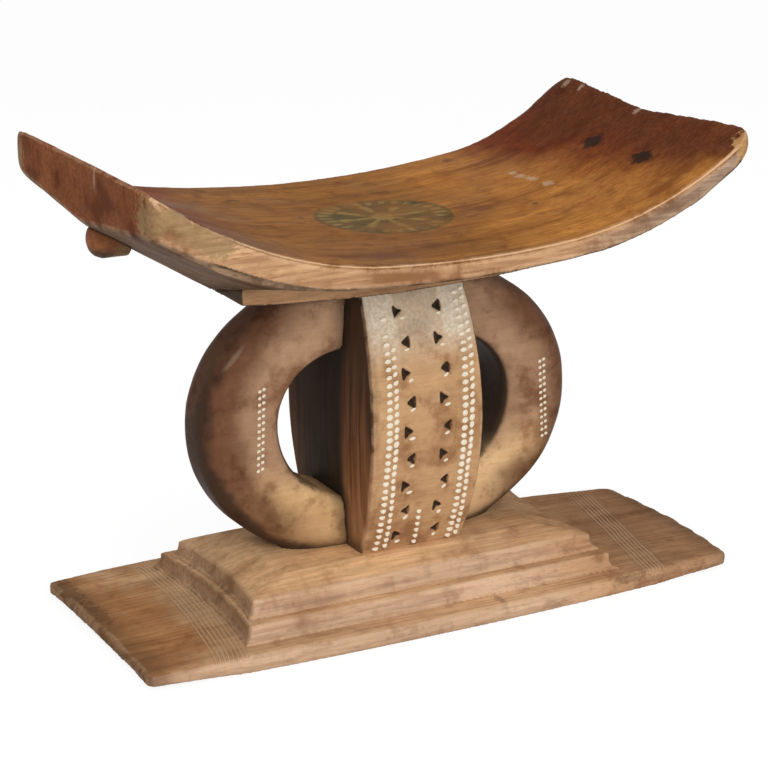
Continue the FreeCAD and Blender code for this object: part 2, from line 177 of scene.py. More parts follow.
class StoolCarvingSettings(bpy.types.PropertyGroup):
    """How finely each member is surfaced and how much its surface wanders."""
    seat_grid: length_setting("Seat grid", "Mesh size of the seat", 1.6 * MM)
    base_grid: length_setting("Base grid", "Mesh size of the base board", 1.6 * MM)
    step_grid: length_setting("Step grid", "Mesh size of the steps", 1.2 * MM)
    ring_grid: length_setting("Ring grid", "Mesh size of the ring halves", 1.2 * MM)
    column_grid: length_setting("Column grid", "Mesh size of the column and its panels", 0.9 * MM)
    bearer_grid: length_setting("Bearer grid", "Mesh size of the bearer", 1.4 * MM)
    lug_grid: length_setting("Lug grid", "Mesh size of the lug", 0.7 * MM)
    ripple_width: length_setting("Ripple width", "Size of the hand-cut unevenness", 26 * MM)
    ripple_height: length_setting("Ripple height", "Height of the hand-cut unevenness", 0.9 * MM)


class StoolDotSettings(bpy.types.PropertyGroup):
    """Rows of clay dots on the panels and the ring."""
    pitch: length_setting("Dot pitch", "From one dot of a row to the next", 5.1 * MM)
    width: length_setting("Dot width", "Width of one dot", 4.9 * MM)
    height: length_setting("Dot height", "Height of one dot", 4.5 * MM)
    rise: length_setting("Dot rise", "How far a dot stands out of the wood", 0.65 * MM)
    seed: IntProperty(name="Seed", description="Start of the dots' small irregularities", default=7)


class StoolStageSettings(bpy.types.PropertyGroup):
    """Camera, lamps and floor."""
    lens: FloatProperty(name="Lens", description="Focal length of the camera", default=112.5,
                        unit="CAMERA", min=10)
    key_power: FloatProperty(name="Key lamp", description="Power of the large lamp", default=20,
                             unit="POWER", min=0)
    top_power: FloatProperty(name="Top lamp", description="Power of the lamp above", default=6,
                             unit="POWER", min=0)
    sky: FloatProperty(name="Sky", description="Even light from all round", default=0.48, min=0)


# Mesh tools

def only(*pieces):
    """Selects these pieces alone, the first one active."""
    bpy.ops.object.select_all(action="DESELECT")
    for piece in pieces:
        piece.select_set(True)
    bpy.context.view_layer.objects.active = pieces[0]


def apply_modifier(piece, kind, **settings):
    only(piece)
    bpy.ops.object.modifier_add(type=kind)
    modifier = piece.modifiers[-1]
    for key, value in settings.items():
        setattr(modifier, key, value)
    bpy.ops.object.modifier_apply(modifier=modifier.name)


def smooth(piece, passes, group):
    apply_modifier(piece, "SMOOTH", factor=0.5, iterations=passes, vertex_group=group)


def add_object(name, data, place):
    item = bpy.data.objects.new(name, data)
    item.location = place
    bpy.context.scene.collection.objects.link(item)
    return item


def copy_members(name, members):
    """One closed mesh from copies of some members, their corners merged."""
    copies = []
    for member in members:
        copy = frame["nodes"][member].copy()
        copy.data = copy.data.copy()
        copy.parent = None
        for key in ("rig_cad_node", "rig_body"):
            del copy[key]
        bpy.context.scene.collection.objects.link(copy)
        copies.append(copy)
    only(*copies)
    if len(copies) > 1:
        bpy.ops.object.join()
    piece = copies[0]
    piece.name = name
    piece.data.name = name
    bpy.ops.object.mode_set(mode="EDIT")
    bpy.ops.mesh.select_all(action="SELECT")
    bpy.ops.mesh.remove_doubles(threshold=0.01 * MM)
    bpy.ops.object.mode_set(mode="OBJECT")
    return piece


def points_of(mesh, kind="co"):
    """Where the vertices lie, or with "normal" the way they face."""
    values = np.empty(len(mesh.vertices) * 3)
    mesh.vertices.foreach_get(kind, values)
    return values.reshape(-1, 3)


def edges_of(mesh):
    ends = np.empty(len(mesh.edges) * 2, dtype=np.int32)
    mesh.edges.foreach_get("vertices", ends)
    return ends.reshape(-1, 2)


def move_points(mesh, points):
    mesh.vertices.foreach_set("co", points.ravel())
    mesh.update()


def neighbour_mean(values, ends):
    """Mean of each vertex's neighbours."""
    total = (np.bincount(ends[:, 0], values[ends[:, 1]], len(values))
             + np.bincount(ends[:, 1], values[ends[:, 0]], len(values)))
    return total / np.maximum(np.bincount(ends.ravel(), minlength=len(values)), 1)


def spread(values, ends, passes):
    for _ in range(passes):
        values = (values + neighbour_mean(values, ends)) / 2
    return values


def nearness(points, others, reach):
    """For each point, 1 on another member and 0 from `reach` away."""
    corners, faces = [], []
    for node in others:
        mesh = frame["nodes"][node].data
        start = len(corners)
        corners += [vertex.co for vertex in mesh.vertices]
        faces += [[start + index for index in face.vertices] for face in mesh.polygons]
    tree = BVHTree.FromPolygons(corners, faces)
    near = np.zeros(len(points))
    for index, point in enumerate(points):
        found = tree.find_nearest(point, reach)
        if found[0] is not None:
            near[index] = 1 - found[3] / reach
    return near


def keep_attribute(mesh, name, values):
    attribute = mesh.attributes.new(name, "FLOAT", "POINT")
    attribute.data.foreach_set("value", values.astype(np.float32))


def weight_group(piece, name, weights):
    """Vertex group with weights from 0 to 1, rounded to tenths."""
    group = piece.vertex_groups.new(name=name)
    levels = np.round(weights * 10).astype(int)
    for level in range(1, 11):
        group.add(np.nonzero(levels == level)[0].tolist(), level / 10, "REPLACE")
    return group.name


def free_group(piece, near):
    """Vertex group that leaves out what meets another member or the floor."""
    points = points_of(piece.data)
    free = np.clip((1 - near - 0.2) / 0.6, 0, 1) * np.clip((points[:, 2] - 0.3 * MM) / MM, 0, 1)
    return weight_group(piece, "free", free)


def mark_wear_and_shade(piece, others, reach):
    """Attributes `arris` on convex edges, `pit` in hollows and `corner` next to other members; the finishes
    use `arris` for wear, and `pit` and `corner` for dirt and painted shade.
    """
    mesh = piece.data
    points, normals, ends = points_of(mesh), points_of(mesh, "normal"), edges_of(mesh)
    step = np.linalg.norm(points[ends[:, 0]] - points[ends[:, 1]], axis=1).mean()
    pull = np.stack([neighbour_mean(points[:, axis], ends) for axis in range(3)], axis=1) - points
    bend = -(pull * normals).sum(axis=1) / step
    keep_attribute(mesh, "arris", np.clip(spread(bend, ends, 6) * 14, 0, 1))
    keep_attribute(mesh, "pit", np.clip(spread(-bend, ends, 4) * 9, 0, 1))
    keep_attribute(mesh, "corner", nearness(points, others, reach))


def press_in(points, axis, level, side):
    """Carries the last of a face past a level, into the member that it meets there."""
    beyond = (points[:, axis] - level) * side
    points[beyond > -0.7 * MM, axis] = level + side * 0.8 * MM


def carve(name, members, kind, ripple, material, filled=(), pressed=()):
    """Worn copy of one or more members: surfaced anew, arrises eased, slightly uneven.

    `kind` names its grid and its easing, and `pressed` lists the axis and side of each face
    that is carried into its neighbour.
    """
    settings = bpy.context.scene.stool_carving
    lows, highs = zip(*[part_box(member) for member in members])
    piece = copy_members(name, list(members) + list(filled))
    piece.data.transform(GRID_TURN)
    apply_modifier(piece, "REMESH", mode="VOXEL", voxel_size=getattr(settings, kind + "_grid"))
    piece.data.transform(GRID_TURN.inverted())
    others = [node for node in frame["nodes"] if node not in members]
    near = nearness(points_of(piece.data), others, 4 * MM)
    group = free_group(piece, near)
    smooth(piece, EASING[kind], group)
    cloud = bpy.data.textures.new(name + "_ripple", "CLOUDS")
    cloud.noise_scale = settings.ripple_width
    cloud.noise_depth = 2
    apply_modifier(piece, "DISPLACE", texture=cloud, texture_coords="LOCAL", mid_level=0.5,
                   strength=ripple * settings.ripple_height, vertex_group=group)
    low = [min(corner[axis] for corner in lows) for axis in range(3)]
    high = [max(corner[axis] for corner in highs) for axis in range(3)]
    points = np.clip(points_of(piece.data), low, high)
    for axis, side in pressed:
        press_in(points, axis, high[axis] if side > 0 else low[axis], side)
    move_points(piece.data, points)
    mark_wear_and_shade(piece, [node for node in others if node not in filled], 12 * MM)
    piece.vertex_groups.clear()
    only(piece)
    bpy.ops.object.shade_smooth()
    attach(piece, "root")
    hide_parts(*members)
    wear_material(piece, material)
    return piece


def wear_material(piece, material):
    piece.data.materials.clear()
    piece.data.materials.append(material)


# Shader tools

class Finish:
    """A material under construction, with short calls for the nodes it needs.

    Places are in metres in the frame of the part.
    """

    def __init__(self, name):
        self.material = bpy.data.materials.new(name)
        self.material.use_nodes = True
        self.tree = self.material.node_tree
        self.shader = self.tree.nodes["Principled BSDF"]
        self.place = self.node("TexCoord").outputs["Object"]
        self.normal = self.node("NewGeometry").outputs["Normal"]
        parts = self.node("SeparateXYZ")
        self.put(self.place, parts.inputs[0])
        self.x, self.y, self.z = parts.outputs
        facing = self.node("SeparateXYZ")
        self.put(self.normal, facing.inputs[0])
        self.facing_x, self.facing_y, self.facing_z = facing.outputs

    def node(self, kind):
        return self.tree.nodes.new("ShaderNode" + kind)

    def put(self, value, socket):
        if isinstance(value, bpy.types.NodeSocket):
            self.tree.links.new(value, socket)
        elif isinstance(value, (int, float)):
            socket.default_value = value
        elif len(value) == 3 and len(socket.default_value) == 4:
            socket.default_value = (*value, 1)
        else:
            socket.default_value = value

    def maths(self, operation, first, second=0.0):
        node = self.node("Math")
        node.operation = operation
        self.put(first, node.inputs[0])
        self.put(second, node.inputs[1])
        return node.outputs[0]

    def times(self, *factors):
        value = factors[0]
        for factor in factors[1:]:
            value = self.maths("MULTIPLY", value, factor)
        return value

    def plus(self, *terms):
        value = terms[0]
        for term in terms[1:]:
            value = self.maths("ADD", value, term)
        return value

    def less(self, first, second):
        return self.maths("SUBTRACT", first, second)

    def swing(self, pattern, width):
        """A noise pattern, shifted to lie about 0."""
        return self.times(self.less(pattern, 0.5), width)

    def size(self, value):
        return self.maths("ABSOLUTE", value)

    def vectors(self, operation, first, second=(0.0, 0.0, 0.0)):
        node = self.node("VectorMath")
        node.operation = operation
        self.put(first, node.inputs[0])
        self.put(second, node.inputs[1])
        return node.outputs

    def rise(self, value, start, end, low=0.0, high=1.0):
        """Smooth step from `low` at `start` to `high` at `end`, which may be the smaller."""
        node = self.node("MapRange")
        node.interpolation_type = "SMOOTHSTEP"
        if start > end:
            start, end, low, high = end, start, high, low
        self.put(value, node.inputs["Value"])
        for name, number in zip(("From Min", "From Max", "To Min", "To Max"), (start, end, low, high)):
            node.inputs[name].default_value = number
        return node.outputs["Result"]

    def stretched(self, scale):
        node = self.node("Mapping")
        self.put(self.place, node.inputs["Vector"])
        node.inputs["Scale"].default_value = scale
        return node.outputs["Vector"]

    def noise(self, scale, vector=None, detail=4.0, roughness=0.55, distortion=0.0):
        node = self.node("TexNoise")
        self.put(vector or self.place, node.inputs["Vector"])
        for name, number in (("Scale", scale), ("Detail", detail), ("Roughness", roughness),
                             ("Distortion", distortion)):
            node.inputs[name].default_value = number
        return node.outputs[0]

    def attribute(self, name):
        node = self.node("Attribute")
        node.attribute_name = name
        return node.outputs["Fac"]

    def mix(self, share, first, second):
        node = self.node("Mix")
        node.data_type = "RGBA"
        self.put(share, node.inputs[0])
        self.put(first, node.inputs[6])
        self.put(second, node.inputs[7])
        return node.outputs[2]

    def over(self, below, above, *shares):
        """One colour laid over another, the product of the shares saying how strongly."""
        return self.mix(self.times(*shares), below, above)

    def patch(self, centre, radii, ragged=0.35, soft=0.35, turn=0.0):
        """1 inside a ragged oval patch given in millimetres; `turn` tips it about the Y axis."""
        centre, radii = ([length * MM for length in lengths] for lengths in (centre, radii))
        turned = self.node("VectorRotate")
        turned.rotation_type = "Y_AXIS"
        turned.inputs["Angle"].default_value = turn
        self.put(self.vectors("SUBTRACT", self.place, centre)[0], turned.inputs["Vector"])
        scaled = self.vectors("DIVIDE", turned.outputs[0], radii)[0]
        length = self.vectors("LENGTH", scaled)["Value"]
        ragging = self.noise(min(1.4 / min(radii), FINEST_FRAY), detail=4.0, roughness=0.7)
        fray = self.swing(ragging, 4 * ragged)
        return self.rise(self.plus(length, fray), 1 + soft / 2, 1 - soft / 2)

    def tinted(self, colour, shares):
        """The colour with each of its channels multiplied."""
        return self.vectors("MULTIPLY", colour, shares)[0]

    def bump(self, height, distance, before=None):
        node = self.node("Bump")
        self.put(height, node.inputs["Height"])
        node.inputs["Distance"].default_value = distance
        if before is not None:
            self.put(before, node.inputs["Normal"])
        return node.outputs[0]

    def finish(self, colour, roughness, normal):
        self.put(colour, self.shader.inputs["Base Color"])
        self.put(roughness, self.shader.inputs["Roughness"])
        self.put(normal, self.shader.inputs["Normal"])
        self.shader.inputs["Specular IOR Level"].default_value = SHEEN
        return self.material


class Wood(Finish):
    """Close-grained wood, its grain along X in every member."""

    def __init__(self, name):
        super().__init__(name)
        self.bands = self.noise(1.0, self.stretched((4.0, 42.0, 42.0)), 3.0, 0.5, 0.4)
        self.grain = self.noise(1.0, self.stretched((22.0, 420.0, 420.0)), 5.0, 0.6)
        self.pores = self.noise(1.0, self.stretched((130.0, 1900.0, 1900.0)), 2.0, 0.5)
        self.blotch = self.noise(13.0, detail=5.0, roughness=0.6)
        self.mottle = self.noise(70.0, detail=5.0, roughness=0.65)
        self.from_stem = self.less(self.x, STEM_X)

    def figured(self, colour, strength=1.0, lines=1.0):
        """The colour with streaks, blotches and fine dark grain; `lines` is the share of the grain."""
        dark = self.tinted(colour, (0.5, 0.4, 0.34))
        light = self.tinted(colour, (1.3, 1.36, 1.4))
        streaks = self.plus(self.times(self.bands, 0.5 * lines),
                            self.times(self.blotch, 0.75 - 0.4 * lines),
                            self.times(self.mottle, 0.25 - 0.1 * lines))
        for pattern, start, end, share, tone in (
                (streaks, 0.5, 0.38, 0.8, dark), (streaks, 0.5, 0.62, 0.8, light),
                (self.mottle, 0.5, 0.28, 0.5, dark), (self.grain, 0.6, 0.38, 0.4 * lines, dark),
                (self.pores, 0.42, 0.28, 0.6 * lines, dark)):
            colour = self.mix(self.rise(pattern, start, end, 0.0, share * strength), colour, tone)
        return colour

    def stained(self, colour, spots, tone, strength):
        """Ragged spots of another tone, each with its centre and radii in millimetres."""
        for centre, radii in spots:
            colour = self.over(colour, tone, self.patch(centre, radii, 0.8, 0.6), strength)
        return colour

    def gloss(self, low, high):
        """Roughness that changes from place to place."""
        return self.rise(self.blotch, 0.35, 0.65, low, high)

    def rubbed(self, colour, pale, amount):
        """Pale, broken line along the arrises."""
        return self.over(colour, pale, self.rise(self.attribute("arris"), 0.25, 0.6),
                         self.rise(self.mottle, 0.36, 0.6), amount)

    def relief(self, depth=1.0):
        """Bump of grain, pores and small knocks."""
        normal = self.bump(self.grain, depth * 0.25 * MM)
        normal = self.bump(self.pores, depth * 0.12 * MM, normal)
        return self.bump(self.mottle, depth * 0.5 * MM, normal)


def make_seat_material(tones):
    wood = Wood("handled_seat_wood")
    wander = wood.swing(wood.blotch, 0.14)
    along = wood.plus(wood.from_stem, wander)
    colour = wood.mix(wood.rise(along, 0.02, 0.1), tones.golden, tones.amber)
    colour = wood.mix(wood.rise(along, -0.08, -0.16), colour, tones.shaded)
    reach = wood.plus(wood.size(wood.from_stem), wood.times(wood.y, 0.27), wander)
    colour = wood.mix(wood.rise(reach, 0.11, 0.175), colour, tones.russet)
    tip = wood.rise(along, 0.15, 0.19, 0.0, 0.75)
    colour = wood.mix(tip, colour, tones.umber)
    side = wood.rise(wood.facing_z, 0.6, 0.25)
    edge = wood.mix(wood.rise(along, 0.05, 0.14), tones.edge, tones.pale_edge)
    colour = wood.mix(side, colour, edge)
    end = wood.rise(wood.size(wood.facing_x), 0.7, 0.88)
    colour = wood.mix(end, colour, tones.end)
    under = wood.rise(wood.facing_z, -0.25, -0.55)
    colour = wood.over(colour, tones.under, under, 0.85)
    colour = wood.figured(colour, 1.25)
    # Painted shade in the crease where the left tip's edge is cut under.
    cut = wood.attribute("undercut")
    undercut_shade = wood.times(wood.rise(cut, 0.04, 0.2), wood.rise(cut, 0.8, 0.4),
                        wood.rise(wood.x, -0.2, -0.185))
    colour = wood.over(colour, tones.soot_and_shade, undercut_shade, wood.rise(wood.mottle, 0.3, 0.5), 0.75)
    # Dirt with painted shade on downward faces next to other members.
    dirt_and_shade = wood.times(wood.attribute("corner"), wood.rise(wood.facing_z, 0.0, -0.5))
    colour = wood.over(colour, tones.soot_and_shade, dirt_and_shade, 0.7)
    brink = wood.times(wood.rise(wood.facing_x, 0.15, 0.4), wood.rise(wood.facing_x, 0.98, 0.85),
                       wood.rise(wood.from_stem, 0.15, 0.18), wood.rise(wood.mottle, 0.3, 0.55, 0.8, 1.0))
    colour = wood.over(colour, tones.soot_and_shade, brink, 0.85)
    shoulder = wood.times(wood.rise(wood.facing_y, -0.28, -0.45), wood.rise(wood.facing_y, -0.8, -0.6),
                          wood.rise(wood.facing_z, 0.15, 0.4))
    line = wood.times(shoulder, wood.rise(wood.mottle, 0.3, 0.5, 0.35, 1.0))
    colour = wood.over(colour, tones.rubbed, line, 0.85)
    colour = wood.rubbed(colour, tones.rubbed, wood.rise(wood.from_stem, 0.17, 0.195, 0.3, 0.0))
    worn = wood.figured(tones.bare, 0.8)
    colour = wood.stained(colour, [((-209, -121, 306), (15, 9, 11)), ((-195, -122, 295), (15, 6, 9)),
                                   ((-182, -122, 286), (11, 5, 6)), ((-221, -106, 304), (6, 11, 12)),
                                   ((-222, 110, 304), (6, 13, 12))], worn, 0.92)
    fresh = wood.figured(tones.fresh, 0.8)
    colour = wood.stained(colour, [((193, -119, 309), (11, 8, 15))], fresh, 0.9)
    for centre in ((158.6, 12, 290), (157, -50, 291)):
        colour = wood.mix(lozenge(wood, centre), colour, tones.mark)
    colour = wood.stained(colour, [((107, 33, 269), (2.5, 4, 6)), ((107, 22, 269), (3, 4, 6)),
                                   ((108, 10, 270), (2.5, 6, 6)), ((109, -10, 270), (3.5, 5, 6)),
                                   ((188, 3, 311), (3, 2.5, 6)), ((193, 102, 314), (3, 3, 6)),
                                   ((193, 82, 314), (2.5, 2.5, 6)), ((-222, -28, 314), (5, 1.5, 8))],
                          tones.dust_and_highlight, 0.42)
    colour = wood.stained(colour, [((-95, 107, 264), (4, 5, 6)), ((-86, 73, 263), (5, 3, 6)),
                                   ((94, 101, 266), (4, 4, 6)), ((82, -38, 265), (2, 2, 6)),
                                   ((-63, 16, 261), (2, 3, 6))], tones.soot_and_shade, 0.5)
    gloss = wood.plus(wood.gloss(0.45, 0.58), wood.times(side, 0.1))
    return wood.finish(colour, gloss, wood.relief(0.6))


def lozenge(wood, centre):
    """1 inside a small dark diamond on the wing."""
    across = wood.times(wood.size(wood.less(wood.x, centre[0] * MM)), 1 / (8 * MM))
    along = wood.times(wood.size(wood.less(wood.y, centre[1] * MM)), 1 / (12 * MM))
    fray = wood.swing(wood.noise(260.0, detail=4.0, roughness=0.7), 1.7)
    inside = wood.rise(wood.plus(across, along, fray), 1.2, 0.7)
    return wood.times(inside, 0.95, wood.rise(wood.facing_z, 0.0, 0.3))


def make_ring_material(tones):
    wood = Wood("dull_ring_wood")
    half = (RING_HIGH.z - RING_LOW.z) / 2
    out = wood.less(wood.size(wood.from_stem), STEM_X - RING_LOW.x - half)
    lift = wood.less(wood.z, RING_LOW.z + half)
    radius = wood.maths("SQRT", wood.plus(wood.times(out, out), wood.times(lift, lift)))
    wander = wood.swing(wood.blotch, 0.08)
    # The ring's lower part is paler; on the right half this is partly painted light where the column shades
    # it.
    low = wood.mix(wood.rise(wood.from_stem, 0.0, 0.03), tones.ring_pale, tones.lit_pale_low_ring)
    colour = wood.mix(wood.rise(wood.plus(wood.z, wander), 0.115, 0.085), tones.ring, low)
    upper = wood.patch((-66, -10, 196), (52, 60, 34), 0.1, 1.2)
    colour = wood.mix(upper, colour, tones.upper_ring)
    red = wood.times(wood.rise(wood.plus(radius, wander), 0.055, 0.078), wood.rise(out, 0.0, 0.05))
    colour = wood.over(colour, tones.ring_red, red, 0.85)
    colour = wood.figured(colour, 1.3, 0.25)
    # Painted shade: soot tone along the ring's outer rim, stronger towards the foot.
    rim = wood.times(wood.rise(wood.plus(radius, wood.times(wander, 0.5)), half - 7 * MM, half - 1 * MM),
                     wood.rise(wood.z, 0.19, 0.15, 0.3, 0.75))
    colour = wood.mix(rim, colour, tones.soot_and_shade)
    # Soot with painted shade on the ring's inner walls, darker higher up in the opening.
    inside = wood.times(wood.rise(radius, 0.052, 0.047), wood.rise(wood.size(wood.facing_y), 0.85, 0.5))
    colour = wood.over(colour, tones.soot_and_shade, inside, wood.rise(wood.z, 0.078, 0.105, 0.2, 0.9))
    # Dirt with painted shade next to other members and in the corners of the opening by the column.
    colour = wood.over(colour, tones.soot_and_shade, wood.attribute("corner"), 0.55)
    corners = [((-60, 8, 92), (22, 28, 9)), ((38, 8, 92), (22, 28, 9))]
    colour = wood.stained(colour, corners, tones.soot_and_shade, 0.6)
    # Painted highlight: a thin pale streak along the left ring's shoulder.
    painted_highlight = wood.patch((-126, -12.5, 181.5), (1.1, 9, 9), 0.15, 1.0, math.radians(-42))
    colour = wood.over(colour, tones.dust_and_highlight, painted_highlight, 0.24)
    return wood.finish(colour, wood.gloss(0.38, 0.52), wood.relief(0.7))


def make_bearer_material(tones):
    wood = Wood("dusty_bearer_wood")
    # Painted shade: the bearer's end faces take the dark underside tone.
    colour = wood.mix(wood.rise(wood.size(wood.facing_x), 0.4, 0.8), tones.edge, tones.under)
    colour = wood.mix(wood.rise(wood.facing_z, -0.3, -0.7), wood.figured(colour), wood.figured(tones.under))
    # Dirt with painted shade next to other members.
    colour = wood.over(colour, tones.soot_and_shade, wood.attribute("corner"), 0.35)
    return wood.finish(colour, 0.6, wood.relief(0.8))


def make_lug_material(tones):
    wood = Wood("handled_lug_wood")
    low = wood.rise(wood.z, LUG_LOW.z + 12 * MM, LUG_LOW.z + 3 * MM)
    colour = wood.mix(low, tones.lug, tones.under)
    worn = wood.rise(wood.plus(wood.x, wood.swing(wood.mottle, 0.02)), LUG_HIGH.x - 12 * MM,
                     LUG_HIGH.x - 7 * MM)
    colour = wood.over(colour, tones.bare, worn, 0.6)
    # Dirt with painted shade next to other members.
    colour = wood.over(wood.figured(colour), tones.soot_and_shade, wood.attribute("corner"), 0.4)
    return wood.finish(colour, 0.42, wood.relief(0.8))


def make_column_material(tones):
    wood = Wood("clay_rubbed_panel_wood")
    colour = wood.figured(tones.panel, 1.1, 0.4)
    residue = wood.plus(wood.z, wood.swing(wood.mottle, 0.03))
    rows = wood.times(wood.rise(wood.size(wood.from_stem), 14 * MM, 20 * MM),
                      wood.rise(wood.size(wood.from_stem), 39 * MM, 35 * MM))
    smeared = wood.times(wood.rise(residue, 0.168, 0.205), wood.rise(rows, 0.0, 1.0, 0.5, 0.85))
    speckle = wood.noise(420.0, detail=3.0, roughness=0.6)
    smear = wood.mix(wood.rise(speckle, 0.38, 0.6, 0.5, 1.0), tones.dust_and_highlight, tones.clay)
    colour = wood.mix(smeared, colour, smear)
    side = wood.rise(wood.size(wood.facing_x), 0.45, 0.8)
    strips = wood.noise(1.0, wood.stretched((160.0, 160.0, 9.0)), 3.0, 0.55)
    streaked = wood.plus(wood.z, wood.swing(strips, 0.3))
    flank = wood.mix(wood.rise(streaked, 0.13, 0.06), tones.flank, wood.mix(0.55, tones.panel, tones.flank))
    # Soot with the seat's painted shadow, darker towards the top of the flank.
    flank = wood.mix(wood.rise(streaked, 0.11, 0.18, 0.0, 0.78), flank, tones.soot_and_shade)
    flank = wood.mix(wood.rise(strips, 0.5, 0.35, 0.0, 0.6), flank, tones.soot_and_shade)
    margin = wood.rise(wood.plus(wood.from_stem, wood.swing(wood.mottle, 0.01)), -33 * MM, -41 * MM,
                       0.0, 0.6)
    colour = wood.over(colour, flank, margin, wood.rise(wood.z, 0.2, 0.17, 0.35, 1.0))
    colour = wood.mix(side, colour, flank)
    # Soot with painted shade on the column's sides inside the ring's opening.
    soot_and_shade_in_opening = wood.times(side, wood.rise(wood.y, -26 * MM, -14 * MM),
                      wood.rise(wood.y, 70 * MM, 30 * MM, 0.6, 1.0))
    colour = wood.over(colour, tones.soot_and_shade, soot_and_shade_in_opening, 0.9)
    # Painted shade in the notches.
    colour = wood.over(colour, tones.soot_and_shade, wood.rise(wood.attribute("pit"), 0.05, 0.35), 0.95)
    # Dirt with painted shade on the column's sides next to the ring and the seat.
    colour = wood.over(colour, tones.soot_and_shade, wood.attribute("corner"), side, 0.8)
    colour = wood.rubbed(colour, tones.rubbed, 0.3)
    return wood.finish(colour, wood.gloss(0.5, 0.65), wood.relief(1.0))


def make_board_material(tones):
    wood = Wood("dry_board_wood")
    wander = wood.swing(wood.blotch, 0.16)
    along = wood.plus(wood.x, wander)
    far = wood.rise(wood.plus(wood.size(wood.from_stem), wander), 0.14, 0.185)
    colour = wood.mix(far, tones.board, tones.dull)
    colour = wood.mix(wood.rise(wood.noise(11.0, detail=4.0), 0.5, 0.72, 0.0, 0.45), colour, tones.dull)
    # Painted light on the left of the steps, where the ring's shadow falls.
    painted_step_light = wood.patch((-75, -45, 40), (75, 60, 16), 0.15, 1.2)
    colour = wood.over(colour, tones.painted_step_light, painted_step_light, 0.9)
    front = wood.rise(wood.size(wood.facing_y), 0.35, 0.75)
    colour = wood.over(colour, tones.front_board, front, wood.rise(wood.x, 0.06, 0.15, 0.7, 0.2))
    colour = wood.mix(wood.rise(along, 0.04, 0.15, 0.0, 0.65), colour, tones.dull)
    colour = wood.mix(wood.rise(along, 0.1, 0.17, 0.0, 0.35), colour, tones.weathered)
    colour = wood.figured(colour, 0.95)
    # Partly grey dust and partly painted shade: the end faces take some of the dark underside tone.
    end = wood.rise(wood.size(wood.facing_x), 0.3, 0.75)
    colour = wood.over(colour, wood.figured(tones.under), end, 0.3)
    # Dirt with painted shade on the end faces next to other members.
    dirt_and_shade = wood.times(wood.attribute("corner"), wood.rise(wood.size(wood.facing_x), 0.15, 0.5))
    colour = wood.over(colour, tones.soot_and_shade, dirt_and_shade, 0.3)
    # Dirt with painted shade in the hollows of the coves.
    hollow_dirt_and_shade = wood.times(wood.rise(wood.attribute("pit"), 0.1, 0.9), 0.4)
    colour = wood.mix(hollow_dirt_and_shade, colour, tones.under)
    rim = wood.rise(wood.plus(wood.size(wood.x), wood.swing(wood.mottle, 0.04)), 0.195, 0.225, 0.0, 0.5)
    colour = wood.mix(rim, colour, tones.soot_and_shade)
    colour = wood.rubbed(colour, tones.rubbed, 0.28)
    colour = wood.stained(colour, [((30, -86, 12), (2.5, 6, 5)), ((130, -93, 10), (14, 3, 3)),
                                   ((-216, 66, 11), (7, 24, 4)), ((-213, 20, 11), (6, 20, 4))],
                          tones.soot_and_shade, 0.38)
    cut = wood.times(wood.plus(groove_bundle(wood, -0.1525, 0.085, -0.8, 4.0),
                               wood.times(groove_bundle(wood, 0.1725, 0.23, 0.0, 3.5),
                                          wood.rise(wood.y, 0.06, 0.01, 0.3, 0.8))),
                     wood.rise(wood.facing_z, 0.5, 0.9), wood.rise(wood.z, 15 * MM, 13 * MM))
    colour = wood.over(colour, tones.rubbed, cut, 0.8)
    normal = wood.bump(wood.times(cut, -1.0), 0.9 * MM, wood.relief(1.0))
    return wood.finish(colour, wood.gloss(0.58, 0.74), normal)


def groove_bundle(wood, start_x, slant, bow, reach):
    """Fine grooves side by side, 3 mm apart, slanting across the board."""
    lean = wood.plus(wood.times(wood.y, slant), wood.times(wood.y, wood.y, bow))
    across = wood.times(wood.less(wood.less(wood.x, start_x), lean), 1 / (3 * MM))
    across = wood.plus(across, wood.swing(wood.noise(30.0, detail=2.0), 0.9))
    line = wood.rise(wood.size(wood.less(wood.maths("FRACT", across), 0.5)), 0.3, 0.12)
    inside = wood.times(wood.rise(across, -reach - 0.1, 0.1 - reach),
                        wood.rise(across, reach + 0.1, reach - 0.1))
    return wood.times(line, inside, wood.rise(wood.mottle, 0.25, 0.5, 0.35, 1.0))


def make_roundel_material(tones):
    wood = Wood("painted_roundel")
    low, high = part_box("seat_roundel")
    centre, radius = (low + high) / 2, (high.x - low.x) / 2
    dx = wood.less(wood.x, centre.x)
    dy = wood.less(wood.y, centre.y)
    reach = wood.times(wood.maths("SQRT", wood.plus(wood.times(dx, dx), wood.times(dy, dy))), 1 / radius)
    angle = wood.maths("ARCTAN2", dy, dx)
    petals = wood.maths("COSINE", wood.times(angle, 8.0))
    fray = wood.swing(wood.mottle, 0.25)
    leaf = wood.rise(wood.plus(reach, fray, wood.times(petals, -0.13)), 0.62, 0.54)
    vein = wood.rise(wood.plus(petals, fray), 0.4, 0.8)
    heart = wood.rise(wood.plus(reach, fray), 0.22, 0.16)
    band = wood.times(wood.rise(wood.plus(reach, fray), 0.72, 0.79), wood.rise(reach, 0.96, 0.9))
    beads = wood.rise(wood.maths("COSINE", wood.times(angle, 28.0)), -0.3, 0.4)
    painted = wood.maths("MAXIMUM", wood.times(leaf, vein),
                         wood.maths("MAXIMUM", heart, wood.times(band, beads)))
    gold = wood.mix(wood.mottle, tones.old_paint, tones.paint)
    ground = wood.figured(tones.paint_ground)
    colour = wood.over(ground, gold, painted, wood.rise(wood.mottle, 0.34, 0.56, 0.1, 0.85))
    outside = wood.rise(wood.plus(reach, fray), 0.85, 1.0, 0.0, 0.35)
    worn = wood.maths("MAXIMUM", wood.rise(wood.blotch, 0.44, 0.66, 0.1, 0.8), outside)
    colour = wood.mix(worn, colour, wood.figured(tones.golden))
    return wood.finish(colour, 0.5, wood.relief(0.6))


